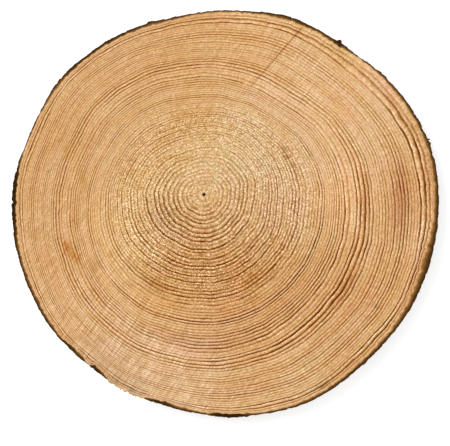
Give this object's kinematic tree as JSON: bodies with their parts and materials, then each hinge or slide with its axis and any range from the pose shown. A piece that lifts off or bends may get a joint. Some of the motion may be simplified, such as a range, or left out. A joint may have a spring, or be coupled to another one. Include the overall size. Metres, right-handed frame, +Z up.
{
  "type": "wood slice",
  "caption": "Thin round slice sawn across a conifer trunk, with its bark on: a rustic base, board, coaster or display stand.",
  "frame": {"origin": "on the resting face, at the centre of the slice's box", "axes": "+Z up out of the upper sawn face, along the trunk; +X along the widest way across the slice; the pith lies towards -X and +Y of the centre"},
  "size_m": [0.32, 0.3052, 0.032],
  "materials": {
    "wood": "raw sawn end grain",
    "bark": "rough flaking bark"
  },
  "bodies": {
    "root": {"wood_slice": "wood"}
  },
  "joints": []
}
